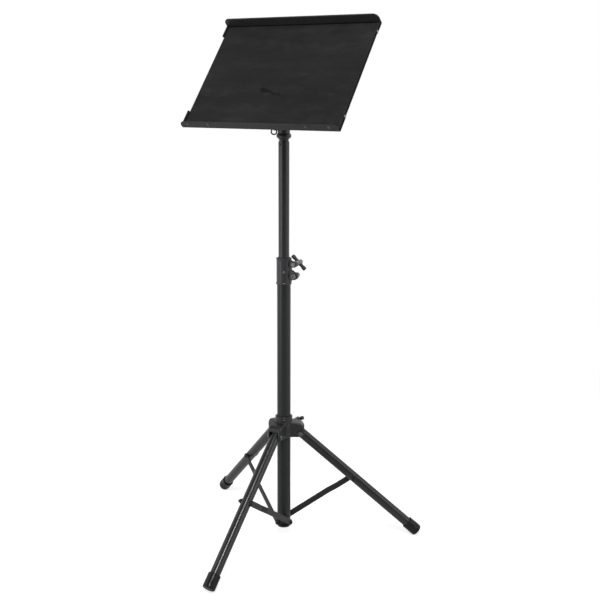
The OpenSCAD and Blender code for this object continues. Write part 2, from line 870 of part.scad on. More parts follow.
// Cross section of the panel: a flat sheet with its sides bent back
module panel_profile() {
    back = desk_offset - flange_depth;
    r = panel_bend;
    q = panel_bend - sheet_t;
    inner = panel_half - sheet_t;
    polygon(concat(
        [[-panel_half, -back]],
        arc([-panel_half + r, -desk_offset + r], r, 180, 270),
        arc([panel_half - r, -desk_offset + r], r, 270, 360),
        [[panel_half, -back], [inner, -back]],
        arc([inner - q, -desk_offset + r], q, 360, 270),
        arc([-inner + q, -desk_offset + r], q, 270, 180),
        [[-inner, -back]]
    ));
}

module desk_panel() {
    color("darkslategray") on_desk() translate([0, 0, panel_bottom])
        linear_extrude(height = desk_h) panel_profile();
}

// Plan of a rail's shelf: its front corners are round
module shelf_outline(depth) {
    front = -desk_offset - depth;
    r = min(rail_corner, depth - 2);
    polygon(concat(
        [[-rail_half, -rail_back]],
        arc([-rail_half + r, front + r], r, 180, 270),
        arc([rail_half - r, front + r], r, 270, 360),
        [[rail_half, -rail_back]]
    ));
}

// Outline of a rail's end tab, seen from the side: X back, Y into the desk from the shelf
module tab_outline(len) {
    r = 4;
    polygon(concat(
        [[0, 0], [tab_depth, 0]],
        arc([tab_depth - r, len - r], r, 0, 90),
        arc([1.5, len - 1.5], 1.5, 90, 180)
    ));
}

// A rail in its own frame: shelf at z = 0 to rail_t, leg and tabs below it at -Z
module rail(depth, tab_len) {
    translate([0, 0, 0]) linear_extrude(height = rail_t) shelf_outline(depth);
    // rolled front edge of the shelf
    translate([-rail_half + rail_corner, -desk_offset - depth + rail_t / 2, rail_t / 2]) along_x()
        cylinder(r = rail_t / 2 + 0.5, h = 2 * (rail_half - rail_corner), $fn = 24);
    // leg behind the panel
    translate([-panel_half + panel_bend + 2, -desk_offset + sheet_t + 0.1, -rail_leg])
        cube([2 * (panel_half - panel_bend - 2), 1.6, rail_leg + 0.5]);
    for (s = [-1, 1]) translate([s * (rail_half - tab_t / 2) - tab_t / 2, -desk_offset - tab_front, 0.5])
        rotate([0, 0, 90]) rotate([90, 0, 0]) mirror([0, 1, 0]) linear_extrude(height = tab_t) tab_outline(tab_len);
}

module tab_screw_holes(z) {
    for (s = [-1, 1]) translate([s * rail_half, tab_screw_y, z]) along_x()
        cylinder(r = tab_screw_r + run, h = 8, center = true);
}

module top_rail() {
    color("black") on_desk() difference() {
        translate([0, 0, panel_top + 0.1]) rail(lip_depth, top_tab);
        tab_screw_holes(panel_top - top_tab + 6);
    }
}

module ledge() {
    color("dimgray") on_desk() difference() {
        translate([0, 0, panel_bottom - 0.1]) mirror([0, 0, 1]) rail(ledge_depth, ledge_tab);
        tab_screw_holes(panel_bottom + ledge_tab - 6);
        for (s = [-1, 1], x = rivet_at) translate([s * x, rivet_y, panel_bottom - 10])
            cylinder(r = rivet_shank_r + seat, h = 20);
    }
}

module ledge_rivets() {
    color("gray") on_desk() for (s = [-1, 1], x = rivet_at)
        translate([s * x, rivet_y, panel_bottom - 0.1 - rail_t]) mirror([0, 0, 1]) {
            translate([0, 0, 0.05]) dome_head(rivet_r, 1.5);
            translate([0, 0, -rail_t - 0.8]) cylinder(r = rivet_shank_r, h = rail_t + 1.3);
            translate([0, 0, -rail_t - 0.05]) mirror([0, 0, 1]) dome_head(rivet_r - 1.5, 1);
        }
}

module rail_screws() {
    color("silver") on_desk() for (s = [-1, 1], z = [panel_top - top_tab + 6, panel_bottom + ledge_tab - 6])
        translate([s * (rail_half + 0.05), tab_screw_y, z]) rotate([0, s * 90, 0]) {
            dome_head(3.2, 1.4);
            translate([0, 0, -tab_t]) cylinder(r = tab_screw_r, h = tab_t + 0.5);
        }
}

lower_tube();
base_plug();
strut_base_bolts();
clutch_sleeve();
clutch_bush();
clutch_pin();
clamp_nut();
sleeve_bolt();
sleeve_nut();
clamp_screw();
clamp_bar();
hub();
hub_bush();
leg_pivot_bolts();
leg_pivot_nuts();
lock_screw();
lock_bar();
front_leg();
right_leg();
left_leg();
front_leg_plug();
right_leg_plug();
left_leg_plug();
front_foot();
right_foot();
left_foot();
front_leg_bolt();
right_leg_bolt();
left_leg_bolt();
front_strut();
right_strut();
left_strut();
front_strut_head();
right_strut_head();
left_strut_head();
upper_tube();
guide_bush();
socket();
socket_pin();
wing_screw();
desk_rod();
tilt_washers();
tilt_bracket();
tilt_bolt();
tilt_nut();
bracket_nuts();
desk_panel();
top_rail();
ledge();
ledge_rivets();
rail_screws();
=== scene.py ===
import json
import math

import bmesh
import bpy
from mathutils import Matrix, Vector


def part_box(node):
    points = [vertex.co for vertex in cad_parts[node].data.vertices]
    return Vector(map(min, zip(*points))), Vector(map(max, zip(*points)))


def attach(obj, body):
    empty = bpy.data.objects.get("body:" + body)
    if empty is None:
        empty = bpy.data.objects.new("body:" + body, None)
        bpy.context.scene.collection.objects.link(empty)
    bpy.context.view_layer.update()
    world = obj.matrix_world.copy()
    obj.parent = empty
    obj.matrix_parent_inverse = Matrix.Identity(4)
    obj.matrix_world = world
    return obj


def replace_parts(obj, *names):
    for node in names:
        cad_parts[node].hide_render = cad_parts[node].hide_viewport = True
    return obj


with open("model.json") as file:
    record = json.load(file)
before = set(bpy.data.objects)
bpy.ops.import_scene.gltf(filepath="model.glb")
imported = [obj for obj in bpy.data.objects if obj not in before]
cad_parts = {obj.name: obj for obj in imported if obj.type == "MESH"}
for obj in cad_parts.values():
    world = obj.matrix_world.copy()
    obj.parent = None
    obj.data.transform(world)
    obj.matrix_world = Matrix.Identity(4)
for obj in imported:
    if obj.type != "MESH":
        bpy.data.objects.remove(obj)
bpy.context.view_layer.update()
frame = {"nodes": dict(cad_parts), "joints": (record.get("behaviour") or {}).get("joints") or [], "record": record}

mm = 0.001    # finishes and pieces are given in millimetres, the room in metres
print("stage 1: the stand is loaded")


# a neutral colour; all colours are linear
def grey(shade):
    return (shade, shade, shade)


class Wire:
    # a socket that can be used in plain arithmetic
    def __init__(self, sheet, socket):
        self.sheet = sheet
        self.socket = socket

    def maths(self, operation, first, second):
        return self.sheet.node("ShaderNodeMath", {"operation": operation}, {0: first, 1: second})

    def __add__(self, other):
        return self.maths("ADD", self, other)

    def __radd__(self, other):
        return self.maths("ADD", other, self)

    def __sub__(self, other):
        return self.maths("SUBTRACT", self, other)

    def __rsub__(self, other):
        return self.maths("SUBTRACT", other, self)

    def __mul__(self, other):
        return self.maths("MULTIPLY", self, other)

    def __rmul__(self, other):
        return self.maths("MULTIPLY", other, self)

    def __truediv__(self, other):
        return self.maths("DIVIDE", self, other)

    def __rtruediv__(self, other):
        return self.maths("DIVIDE", other, self)


# a bevelled normal turned by the first share is still flat surface, by the second a sharp edge
edgeLook = {"samples": 6, "turns": (0.01, 0.12)}


class Sheet:
    # the node tree of a finish or of the world
    def __init__(self, owner):
        owner.use_nodes = True
        self.tree = owner.node_tree
        self.tree.nodes.clear()

    def node(self, kind, settings, sockets, out=0):
        made = self.tree.nodes.new(kind)
        for name, value in settings.items():
            if name == "stops":
                for element, (place, shade) in zip(made.color_ramp.elements, value):
                    element.position = place
                    element.color = (*grey(shade), 1.0)
            else:
                setattr(made, name, value)
        for name, value in sockets.items():
            socket = made.inputs[name]
            if isinstance(value, Wire):
                self.tree.links.new(value.socket, socket)
            elif isinstance(value, tuple) and socket.type == "RGBA":
                socket.default_value = (*value, 1.0)
            else:
                socket.default_value = value
        return Wire(self, made.outputs[out])

    def place(self):
        return self.node("ShaderNodeTexCoord", {}, {}, "Object")

    def vector(self, operation, first, second=(0.0, 0.0, 0.0), out="Vector"):
        return self.node("ShaderNodeVectorMath", {"operation": operation}, {0: first, 1: second}, out)

    def scaled(self, vector, factor):
        return self.node("ShaderNodeVectorMath", {"operation": "SCALE"}, {0: vector, "Scale": factor})

    def noise(self, scale, detail, rough, stretch=(1.0, 1.0, 1.0)):
        where = self.vector("MULTIPLY", self.place(), stretch)
        return self.node("ShaderNodeTexNoise", {},
                         {"Vector": where, "Scale": scale, "Detail": detail, "Roughness": rough})

    def ramp(self, value, low, high):
        return self.node("ShaderNodeValToRGB", {"stops": [(low, 0.0), (high, 1.0)]}, {"Fac": value})

    def ease(self, value, start, end, floor=0.0):
        # a smooth step, from the floor value at the start to 1 at the end
        return self.node("ShaderNodeMapRange", {"interpolation_type": "SMOOTHSTEP"},
                         {"Value": value, "From Min": start, "From Max": end, "To Min": floor})

    def blend(self, share, first, second):
        # 6, 7 and 2 are the Mix node's sockets for colours
        return self.node("ShaderNodeMix", {"data_type": "RGBA"}, {0: share, 6: first, 7: second}, 2)

    def bevelled(self, size):
        return self.node("ShaderNodeBevel", {"samples": edgeLook["samples"]}, {"Radius": size * mm})

    def edges(self, size):
        # 1 along sharp outer and inner edges, 0 on open surface
        flat = self.node("ShaderNodeNewGeometry", {}, {}, "Normal")
        same = self.vector("DOT_PRODUCT", self.bevelled(size), flat, "Value")
        return self.ramp(1.0 - same, *edgeLook["turns"])

    def bump(self, height, look):
        return self.node("ShaderNodeBump", {}, {"Height": height, "Strength": look["peel"],
                                                "Distance": look["depth"] * mm,
                                                "Normal": self.bevelled(look["edge"])})

    def surface(self, shader, kind="ShaderNodeOutputMaterial"):
        self.tree.links.new(shader.socket, self.tree.nodes.new(kind).inputs["Surface"])

    def paint(self, sockets):
        self.surface(self.node("ShaderNodeBsdfPrincipled", {}, sockets))


def newFinish(name):
    made = bpy.data.materials.new(name)
    return made, Sheet(made)


# noises are (scale, detail, roughness), and may end with a stretch along x, y and z
# clouds and specks take a coat from dark to light; share is the clouds' part, and tones are the two ends
# spread and sparkle are what clouds and specks do to the roughness; peel and depth are the specks' bumps
# edge is the width of the lightened edges, partly rubbed paint and partly a painted highlight along them;
# patches and their tones say where edges are lightened, a share how far towards the pale edge grey, and dull how
# much rougher
upperCoat = {
    "dark": (0.0100, 0.0103, 0.0108), "light": (0.0150, 0.0154, 0.0160), "tones": (0.34, 0.68),
    "cloud": (9.0, 4.0, 0.55), "share": 0.75, "speck": (900.0, 2.0, 0.6), "peel": 0.10, "depth": 0.4,
    "roughness": 0.27, "spread": 0.12, "sparkle": 0.04, "gloss": 0.50, "marked": False,
    "edge": 0.6, "patches": (55.0, 4.0, 0.7), "patchTones": (0.42, 0.62), "wearAndHighlight": 0.35, "edgeGrey": 0.16, "dull": 0.0,
}
lowerCoat = dict(upperCoat, dark=(0.0090, 0.0112, 0.0104), light=(0.0140, 0.0172, 0.0160), gloss=0.36)
clutchCoat = dict(
    upperCoat, dark=(0.0150, 0.0150, 0.0176), light=(0.0250, 0.0250, 0.0288), roughness=0.35, gloss=0.52,
    speck=(520.0, 2.0, 0.6), peel=0.28, wearAndHighlight=0.5, edge=0.9, dull=0.35)
legCoat = dict(
    upperCoat, dark=(0.0108, 0.0111, 0.0124), light=(0.0166, 0.0170, 0.0190), roughness=0.20, gloss=0.48,
    speck=(420.0, 2.0, 0.6), peel=0.03, wearAndHighlight=0.25, edge=0.4)
castCoat = dict(
    upperCoat, dark=(0.0080, 0.0080, 0.0090), light=(0.0185, 0.0185, 0.0196), roughness=0.33, gloss=0.46,
    speck=(240.0, 2.0, 0.6), peel=0.75, wearAndHighlight=0.85, edge=1.3)
deskCoat = dict(
    upperCoat, tones=(0.36, 0.66), cloud=(7.0, 4.0, 0.6), share=0.7, speck=(1300.0, 2.0, 0.6), peel=0.14,
    spread=0.08, sparkle=0.0, edge=0.4, patches=(70.0, 4.0, 0.7), patchTones=(0.40, 0.60), edgeGrey=0.12)
panelCoat = dict(
    deskCoat, dark=(0.0138, 0.0138, 0.0146), light=(0.0182, 0.0182, 0.0192), roughness=0.55, gloss=0.12,
    marked=True)
# painted light: the rail's coat is a lighter copy of the desk coat, which brightens the upper lip's shaded
# underside
railCoatLit = dict(
    deskCoat, dark=(0.0240, 0.0240, 0.0250), light=(0.0320, 0.0320, 0.0332), roughness=0.42, gloss=0.25)
ledgeCoat = dict(
    deskCoat, dark=(0.0150, 0.0150, 0.0157), light=(0.0200, 0.0200, 0.0208), roughness=0.46, gloss=0.34)

# dull marks of hands and paper on the panel's coat
marks = {"smear": (6.0, 6.0, 0.66, (0.55, 1.6, 1.6)), "smearTones": (0.47, 0.70), "smearDull": 0.05,
         "rub": (23.0, 5.0, 0.70, (0.50, 1.3, 1.3)), "rubTones": (0.50, 0.72), "rubDull": 0.04,
         "share": 0.55, "colour": (0.0330, 0.0330, 0.0342)}
# one long dark scuff, which wobbles and fades from its broad head to its thin tail
scuff = {"start": (-25.6, -43.2, 1000.9), "end": (34.9, -55.7, 986.3), "head": 6.0, "tail": 1.8,
         "wobble": 12.0, "waves": 60.0, "tones": (0.35, 0.75), "fade": 0.55, "share": 0.9, "shade": 0.005}


# 1 on the scuff, 0 beside it
def scuffMark(sheet):
    start, end = [Vector([value * mm for value in scuff[key]]) for key in ("start", "end")]
    run = end - start
    head, tail, wobble = [scuff[key] * mm for key in ("head", "tail", "wobble")]
    waves = sheet.node("ShaderNodeTexNoise", {}, {"Vector": sheet.place(), "Scale": scuff["waves"]},
                       "Color")
    where = sheet.vector("ADD", sheet.place(), sheet.scaled(waves, wobble))
    origin = start + Vector(grey(wobble / 2.0))    # the waves are 0.5 on average
    off = sheet.vector("SUBTRACT", where, tuple(origin))
    along = sheet.vector("DOT_PRODUCT", off, tuple(run / run.length_squared), "Value")
    along = sheet.node("ShaderNodeClamp", {}, {"Value": along})
    beside = sheet.vector("SUBTRACT", off, sheet.scaled(tuple(run), along))
    width = head + along * (tail - head)
    near = 1.0 - sheet.vector("LENGTH", beside, out="Value") / (width * 2.0)
    return sheet.ramp(near, *scuff["tones"]) * (1.0 - along * scuff["fade"])


def addMarks(sheet, colour, rough):
    smear = sheet.ramp(sheet.noise(*marks["smear"]), *marks["smearTones"])
    rub = sheet.ramp(sheet.noise(*marks["rub"]), *marks["rubTones"])
    colour = sheet.blend((smear + rub) * marks["share"], colour, marks["colour"])
    colour = sheet.blend(scuffMark(sheet) * scuff["share"], colour, grey(scuff["shade"]))
    return colour, rough + smear * marks["smearDull"] + rub * marks["rubDull"]


# powder coat on steel and castings
def coated(name, coat):
    finish, sheet = newFinish(name)
    cloud = sheet.noise(*coat["cloud"])
    speck = sheet.noise(*coat["speck"])
    edge = sheet.edges(coat["edge"])
    tone = sheet.ramp(cloud * coat["share"] + speck * (1.0 - coat["share"]), *coat["tones"])
    colour = sheet.blend(tone, coat["dark"], coat["light"])
    rough = coat["roughness"] - coat["spread"] / 2.0 + cloud * coat["spread"]
    rough = rough + speck * coat["sparkle"] + edge * coat["dull"]
    if coat["marked"]:
        colour, rough = addMarks(sheet, colour, rough)
    # edges lightened towards a pale grey in patches: partly rubbed paint, partly a painted highlight along the
    # edges
    wornAndLitEdges = edge * sheet.ramp(sheet.noise(*coat["patches"]), *coat["patchTones"])
    colour = sheet.blend(wornAndLitEdges * coat["wearAndHighlight"], colour, grey(coat["edgeGrey"]))
    sheet.paint({"Base Color": colour, "Roughness": rough, "Specular IOR Level": coat["gloss"],
                 "Normal": sheet.bump(speck, coat)})
    return finish


# mouldings and plated metal, cloudy in colour and finely uneven in gloss
nylon = {"dark": grey(0.008), "light": grey(0.013), "cloud": (60.0, 3.0, 0.6), "fine": (1500.0, 2.0, 0.5),
         "metallic": 0.0, "roughness": 0.38, "spread": 0.16, "gloss": 0.50, "peel": 0.15, "depth": 0.3,
         "edge": 0.5}
rubber = dict(
    nylon, dark=grey(0.0064), light=grey(0.0104), fine=(700.0, 2.0, 0.5), roughness=0.25, gloss=0.24,
    peel=0.06)
# a near-black matt look, used as painted shade on the desk's sides and under the upper lip
shadeBlack = dict(
    nylon, dark=grey(0.00256), light=grey(0.00416), fine=(900.0, 2.0, 0.5), roughness=0.62, gloss=0.05,
    peel=0.10)
zinc = {"dark": (0.22, 0.22, 0.215), "light": (0.42, 0.42, 0.41), "cloud": (120.0, 4.0, 0.6),
        "fine": (900.0, 3.0, 0.7), "metallic": 1.0, "roughness": 0.32, "spread": 0.20, "gloss": 0.50,
        "peel": 0.08, "depth": 0.2, "edge": 0.3}
blackZinc = dict(
    zinc, dark=(0.014, 0.014, 0.015), light=(0.028, 0.028, 0.030), metallic=0.2, roughness=0.36, gloss=0.34)
darkZinc = dict(zinc, dark=(0.08, 0.08, 0.083), light=(0.20, 0.20, 0.205), metallic=0.85, roughness=0.34)
toolZinc = dict(zinc, dark=grey(0.12), light=grey(0.26), roughness=0.33)
rivetZinc = dict(zinc, dark=grey(0.045), light=grey(0.12), metallic=0.6, roughness=0.42)
# a pale metal for the flanges' cut edges, partly bare steel and partly a painted highlight
bareAndLitEdge = dict(zinc, dark=(0.16, 0.16, 0.165), light=(0.50, 0.50, 0.51), metallic=0.3, roughness=0.45)


def uncoated(name, look):
    finish, sheet = newFinish(name)
    fine = sheet.noise(*look["fine"])
    rough = look["roughness"] - look["spread"] / 2.0 + fine * look["spread"]
    sheet.paint({"Base Color": sheet.blend(sheet.noise(*look["cloud"]), look["dark"], look["light"]),
                 "Metallic": look["metallic"], "Roughness": rough, "Specular IOR Level": look["gloss"],
                 "Normal": sheet.bump(fine, look)})
    return finish


finishes = {
    "tube_paint": coated("lowerTubePaint", lowerCoat),
    "leg_paint": coated("legPaint", legCoat),
    "desk_paint": coated("panelPaint", panelCoat),
    "casting_paint": coated("castingPaint", castCoat),
    "black_nylon": uncoated("blackNylon", nylon),
    "rubber": uncoated("footRubber", rubber),
    "black_zinc": uncoated("blackZinc", blackZinc),
    "zinc": uncoated("zincPlate", zinc),
}
darkPlate = uncoated("darkZinc", darkZinc)
toolPlate = uncoated("toolZinc", toolZinc)
# nodes that are finished a little differently from the rest of their slot
ownFinish = {
    "upper_tube": coated("upperTubePaint", upperCoat),
    "clutch_sleeve": coated("clutchPaint", clutchCoat),
    "top_rail": coated("railPaintLit", railCoatLit),
    "ledge": coated("ledgePaint", ledgeCoat),
    "ledge_rivets": uncoated("rubbedZinc", rivetZinc),
    "clamp_screw": toolPlate, "lock_screw": toolPlate,
    "leg_pivot_nuts": darkPlate, "clutch_pin": darkPlate,
    "clamp_nut": darkPlate, "sleeve_bolt": darkPlate,
}
slotOf = {part["node"]: part["material_slot"] for part in frame["record"]["subparts"]}
for node, obj in frame["nodes"].items():
    obj.data.materials.clear()
    obj.data.materials.append(ownFinish.get(node, finishes[slotOf[node]]))
print("stage 2: finishes on the pieces")


def meshFrom(name, shape):
    mesh = bpy.data.meshes.new(name)
    shape.to_mesh(mesh)
    shape.free()
    return mesh


# pieces that the solids leave out are built as rows of points, each row one closed ring
def ringMesh(name, rows, looped=False):
    shape = bmesh.new()
    rings = [[shape.verts.new(point) for point in row] for row in rows]
    count = len(rings[0])
    pairs = list(zip(rings, rings[1:]))
    if looped:
        pairs.append((rings[-1], rings[0]))
    for first, second in pairs:
        for k in range(count):
            after = (k + 1) % count
            shape.faces.new((first[k], first[after], second[after], second[k]))
    if not looped:
        shape.faces.new(rings[0])
        shape.faces.new(rings[-1])
    bmesh.ops.recalc_face_normals(shape, faces=shape.faces)
    return meshFrom(name, shape)


# a turned shape: each stop is (radius, height), or (radius, height, flats) for a ring with that many flats
# and that half width
def turned(name, place, stops, looped=False, steps=48):
    rows = []
    for radius, height, *flats in stops:
        row = []
        for k in range(steps):
            angle = 2.0 * math.pi * k / steps
            reach = radius * mm
            if flats:
                sector = math.pi / flats[0]
                reach = reach / math.cos((angle + sector) % (2.0 * sector) - sector)
            row.append(place @ Vector((reach * math.cos(angle), reach * math.sin(angle), height * mm)))
        rows.append(row)
    return ringMesh(name, rows, looped)


skew = Vector((0.31, 0.17, 0.94))    # lies along no edge and no axis


# a bead of round section along a line of points, with its radius at each
def swept(name, points, radii, steps=12, looped=False):
    rows = []
    last = len(points) - 1
    side = None
    for k, point in enumerate(points):
        before = points[k - 1] if k or looped else point
        after = points[(k + 1) % len(points)] if k < last or looped else point
        run = (after - before).normalized()
        if side is None:
            side = run.cross(skew).normalized()
        side = (side - run * side.dot(run)).normalized()
        up = run.cross(side)
        rows.append([point + (side * math.cos(turn) + up * math.sin(turn)) * (radii[k] * mm)
                     for turn in (2.0 * math.pi * j / steps for j in range(steps))])
    return ringMesh(name, rows, looped)


# stops along an oval section, at the given angles in degrees
def oval(middle, level, wide, high, angles):
    return [(middle + wide * math.cos(math.radians(angle)), level + high * math.sin(math.radians(angle)))
            for angle in angles]


def joinMeshes(name, meshes):
    whole = bmesh.new()
    for mesh in meshes:
        whole.from_mesh(mesh)
    return meshFrom(name, whole)


crease = 35.0    # edges that turn further than this stay sharp


def addPiece(name, mesh, body, slot, finish=None):
    mesh.materials.append(finish or finishes[slot])
    piece = bpy.data.objects.new(name, mesh)
    bpy.context.scene.collection.objects.link(piece)
    for face in mesh.polygons:
        face.use_smooth = True
    mesh.set_sharp_from_angle(angle=math.radians(crease))
    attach(piece, body)
    return piece


# the place on the mast's axis that is level with the top of a node
def topOf(node):
    return Matrix.Translation((0, 0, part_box(node)[1][2]))


def axisPlace(origin, axis):
    turn = Vector(axis).to_track_quat("Z", "Y").to_matrix().to_4x4()
    return Matrix.Translation(Vector(origin)) @ turn


jointAt = {joint["name"]: joint for joint in frame["joints"]}
sides = (("Left", -1.0), ("Right", 1.0))

# lips of the nylon bushes, round the tubes that run in them
bushLips = [
    {"name": "hubBushLip", "body": "spider", "node": "hub", "inner": 15.1, "outer": 17.3},
    {"name": "clutchBushLip", "body": "mast", "node": "clutch_sleeve", "inner": 11.9, "outer": 14.2},
]
lipShape = {"low": -2.5, "top": 0.9, "innerRound": 0.4, "outerRound": 0.5, "steps": 64}
for lip in bushLips:
    inner, outer, low, top = lip["inner"], lip["outer"], lipShape["low"], lipShape["top"]
    stops = [(inner, low), (inner, top - lipShape["innerRound"]), (inner + lipShape["innerRound"], top),
             (outer - lipShape["outerRound"], top), (outer, top - lipShape["outerRound"]), (outer, low)]
    mesh = turned(lip["name"], topOf(lip["node"]), stops, True, lipShape["steps"])
    addPiece(lip["name"], mesh, lip["body"], "black_nylon")

# rounded rim of the casting round the bush
collar = {"middle": 17.9, "level": -2.0, "wide": 1.55, "high": 1.9, "angles": range(0, 360, 20),
          "steps": 72}
stops = oval(collar["middle"], collar["level"], collar["wide"], collar["high"], collar["angles"])
addPiece("collarRim", turned("collarRim", topOf("hub"), stops, True, collar["steps"]),
         "spider", "casting_paint")

# moulded bead over the socket's flare, with a lower and an upper curve and a short hem
flare = {"middle": 13.0, "level": 11.2, "wide": 2.75, "low": 3.9, "high": 5.6, "hem": 0.4, "steps": 72,
         "lowAngles": range(-90, 1, 15), "highAngles": range(15, 91, 15)}
stops = [(flare["middle"], flare["level"] - flare["low"] - flare["hem"])]
stops += oval(flare["middle"], flare["level"], flare["wide"], flare["low"], flare["lowAngles"])
stops += oval(flare["middle"], flare["level"], flare["wide"], flare["high"], flare["highAngles"])
addPiece("socketBead", turned("socketBead", topOf("upper_tube"), stops, True, flare["steps"]),
         "upper_mast", "casting_paint")

# the bent wire of the wing screw's two loops
wire = {"turn": 210.0, "out": 20.85, "apart": 6.75, "loop": 5.75, "radius": 1.5, "parts": 40, "steps": 14}
wingLevel = Vector((0.0, 0.0, jointAt["wing_turn"]["pos_m"][2]))
wingTurn = Matrix.Rotation(math.radians(wire["turn"]), 3, "Z")
loops = []
for sign in (-1.0, 1.0):
    loopLine = []
    for k in range(wire["parts"]):
        angle = 2.0 * math.pi * k / wire["parts"]
        local = Vector(((wire["out"] + wire["loop"] * math.cos(angle)) * mm, 0.0,
                        (sign * wire["apart"] + wire["loop"] * math.sin(angle)) * mm))
        loopLine.append(wingLevel + wingTurn @ local)
    loops.append(swept("wingLoop", loopLine, [wire["radius"]] * wire["parts"], wire["steps"], True))
addPiece("wingLoops", joinMeshes("wingLoops", loops), "wing_handle", "black_zinc")

# button heads with a hexagon socket, on the leg pivots, the struts' base pivots and the tilt pivot
legPivot = {"shank": 3.0, "from": -19.1, "to": 15.0, "head": 5.2, "rise": 3.0, "socket": 2.0, "deep": 1.9}
basePivot = {"shank": 3.0, "from": 5.0, "to": 18.7, "head": 5.0, "rise": 2.9, "socket": 2.0, "deep": 1.9}
tiltPivot = {"shank": 4.0, "from": -17.4, "to": 8.3, "head": 8.0, "rise": 4.1, "socket": 2.6, "deep": 2.6}
boltShape = {"bevel": 0.6, "rim": 0.3, "dome": range(11, 67, 11), "flats": 6, "lip": 0.2, "tip": 0.4}


def boltStops(bolt):
    shank, head, half = bolt["shank"], bolt["head"], bolt["socket"]
    end, seat = bolt["from"], bolt["to"]
    bevel, rim, lip, tip = [boltShape[key] for key in ("bevel", "rim", "lip", "tip")]
    stops = [(bevel, end), (shank - bevel, end), (shank, end + bevel), (shank, seat), (head - rim, seat),
             (head, seat + rim)]
    stops += oval(0.0, seat, head, bolt["rise"], boltShape["dome"])
    top = stops[-1][1]
    bottom = top - bolt["deep"]
    socket = [(half + lip, top + lip / 2.0), (half, top - lip), (half, bottom)]
    stops += [(radius, height, boltShape["flats"]) for radius, height in socket]
    return stops + [(tip, bottom - tip)]


def boltSet(name, bolt, places, body, node, slot, finish=None):
    bolts = [turned(name, axisPlace(origin, axis), boltStops(bolt)) for origin, axis in places]
    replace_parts(addPiece(name, joinMeshes(name, bolts), body, slot, finish), node)


legs = ("front", "right", "left")
legPivots = [(jointAt[leg + "_leg_fold"]["pos_m"], jointAt[leg + "_leg_fold"]["axis"]) for leg in legs]
boltSet("legPivotBolts", legPivot, legPivots, "spider", "leg_pivot_bolts", "zinc", darkPlate)
baseAt = (0.0, 0.0, jointAt["front_strut_fold"]["pos_m"][2])
basePivots = [(baseAt, [-value for value in jointAt[leg + "_strut_fold"]["axis"]]) for leg in legs]
boltSet("strutBaseBolts", basePivot, basePivots, "mast", "strut_base_bolts", "black_zinc")
tiltAt = jointAt["desk_tilt"]["pos_m"]
boltSet("tiltBolt", tiltPivot, [(tiltAt, (1.0, 0.0, 0.0))], "desk", "tilt_bolt", "zinc")

# moulded grips pushed over the ends of the two tee bars
barGrip = {"radius": 4.35, "from": 12.5, "to": 21.0, "bevel": 0.6, "round": 1.7,
           "curve": range(17, 86, 17), "tip": 0.5}
teeBars = [
    {"name": "clampGrip", "body": "clamp_handle", "node": "clamp_bar", "turn": 8.0,
     "along": (0.7071, 0.0, -0.7071)},
    {"name": "lockGrip", "body": "lock_handle", "node": "lock_bar", "turn": 0.0,
     "along": (0.9063, 0.0, 0.4226)},
]
radius, bevel, soft = barGrip["radius"], barGrip["bevel"], barGrip["round"]
stops = [(barGrip["tip"], barGrip["from"]), (radius - bevel, barGrip["from"]),
         (radius, barGrip["from"] + bevel), (radius, barGrip["to"] - soft)]
stops += oval(radius - soft, barGrip["to"] - soft, soft, soft, barGrip["curve"])
stops.append((barGrip["tip"], barGrip["to"]))
for bar in teeBars:
    low, high = (Vector(corner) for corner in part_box(bar["node"]))
    middle = (low + high) / 2.0
    along = Matrix.Rotation(math.radians(bar["turn"]), 3, "Z") @ Vector(bar["along"])
    for side, sign in (("Left", 1.0), ("Right", -1.0)):
        grip = turned(bar["name"], axisPlace(middle, along * sign), stops)
        addPiece(bar["name"] + side, grip, bar["body"], "black_nylon")

# the ribbed sleeve on the clamp screw's neck, between the clutch's ear and the bar
sleeve = {"from": 7.8, "to": 17.6, "radius": 5.9, "bore": 4.5, "groove": 0.55, "ribs": 4, "flank": 0.18}
pitch = (sleeve["to"] - sleeve["from"]) / sleeve["ribs"]
bottom = sleeve["radius"] - sleeve["groove"]
stops = [(sleeve["bore"], sleeve["from"]), (bottom, sleeve["from"])]
for k in range(sleeve["ribs"]):
    for share, reach in ((sleeve["flank"], sleeve["radius"]), (1.0 - sleeve["flank"], sleeve["radius"]),
                         (1.0, bottom)):
        stops.append((reach, sleeve["from"] + pitch * (k + share)))
stops.append((sleeve["bore"], sleeve["to"]))
clampAt = jointAt["clamp_turn"]
addPiece("clampSleeve", turned("clampSleeve", axisPlace(clampAt["pos_m"], clampAt["axis"]), stops, True),
         "clamp_handle", "zinc", toolPlate)

# the feet's mouth beads and the ribs of their treads, and the washers under the struts
legShape = {"reach": 37.0, "length": 361.5, "radius": 11.0, "foot": 32.0, "footRadius": 13.6,
            "strutAt": 164.0}
legTurn = {"front": -90.0, "right": 30.0, "left": 150.0}
footBead = {"inset": 1.1, "wide": 1.3, "high": 1.2, "angles": range(0, 360, 30)}
footRib = {"count": 3, "first": 9.0, "apart": 3.2, "inset": 0.6, "wide": 0.9, "high": 0.8,
           "angles": range(0, 360, 45)}
washer = {"bore": 3.1, "radius": 6.4, "bulge": 0.2, "gap": 0.05, "thick": 0.30}
spread = math.radians(jointAt["front_leg_fold"]["range_deg"][1])
pivotLevel = jointAt["front_leg_fold"]["pos_m"][2]


def treadRib(place, k):
    level = legShape["length"] - (footRib["first"] + footRib["apart"] * k)
    middle = legShape["footRadius"] - footRib["inset"]
    section = oval(middle, level, footRib["wide"], footRib["high"], footRib["angles"])
    return turned("footRib", place, section, True)


